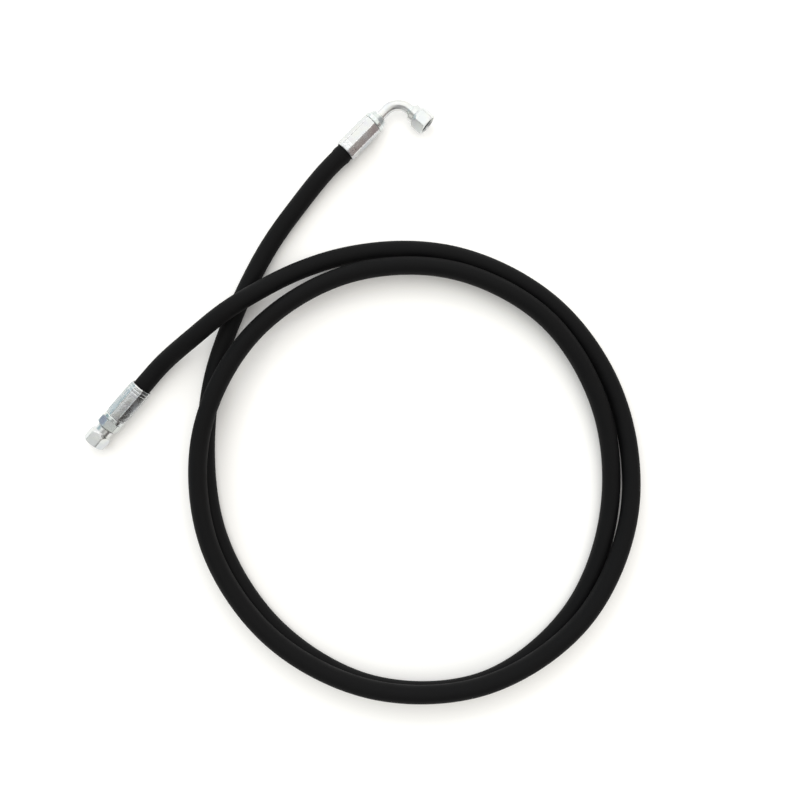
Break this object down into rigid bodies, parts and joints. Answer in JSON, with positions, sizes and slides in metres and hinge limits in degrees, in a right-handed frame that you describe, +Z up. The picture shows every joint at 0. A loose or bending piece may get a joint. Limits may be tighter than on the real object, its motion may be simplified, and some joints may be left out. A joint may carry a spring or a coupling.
{
  "type": "hydraulic hose assembly",
  "caption": "Rubber wire-braid hydraulic hose lying in loose turns, with a straight swivel fitting crimped on one end and a swept swivel elbow on the other.",
  "frame": {"origin": "on the floor, under the middle of the box round the two end fittings", "axes": "+X out of the elbow's nut, +Y from the straight fitting to the elbow fitting, +Z up from the floor"},
  "size_m": [0.4163, 0.4194, 0.0318],
  "materials": {
    "cover_rubber": "smooth matt black cover",
    "braid_wire": "brass-coated steel wire",
    "tube_rubber": "smooth black lining",
    "ferrule_zinc": "bright zinc plate, crimped",
    "insert_zinc": "bright zinc plate, turned",
    "pipe_zinc": "bright zinc plate, drawn pipe",
    "nut_zinc": "bright zinc plate, hexagon bar",
    "seal_rubber": "moulded black seal"
  },
  "bodies": {
    "hose_and_fittings": {"hose_cover": "cover_rubber", "hose_outer_braid": "braid_wire", "hose_inner_braid": "braid_wire", "hose_inner_tube": "tube_rubber", "straight_ferrule": "ferrule_zinc", "straight_insert": "insert_zinc", "straight_o_ring": "seal_rubber", "elbow_ferrule": "ferrule_zinc", "elbow_hose_tail": "insert_zinc", "elbow_bent_pipe": "pipe_zinc", "elbow_cone_head": "insert_zinc", "elbow_o_ring": "seal_rubber"},
    "straight_swivel_nut": {"straight_nut": "nut_zinc"},
    "elbow_swivel_nut": {"elbow_nut": "nut_zinc"}
  },
  "joints": [
    {"name": "straight_nut_swivel", "type": "hinge", "parent": "hose_and_fittings", "child": "straight_swivel_nut", "pos_m": [-0.0123, -0.1777, 0.0094], "axis": [0, -1, 0], "continuous": true},
    {"name": "elbow_nut_swivel", "type": "hinge", "parent": "hose_and_fittings", "child": "elbow_swivel_nut", "pos_m": [0.00711, 0.18693, 0.0094], "axis": [1, 0, 0], "continuous": true}
  ]
}
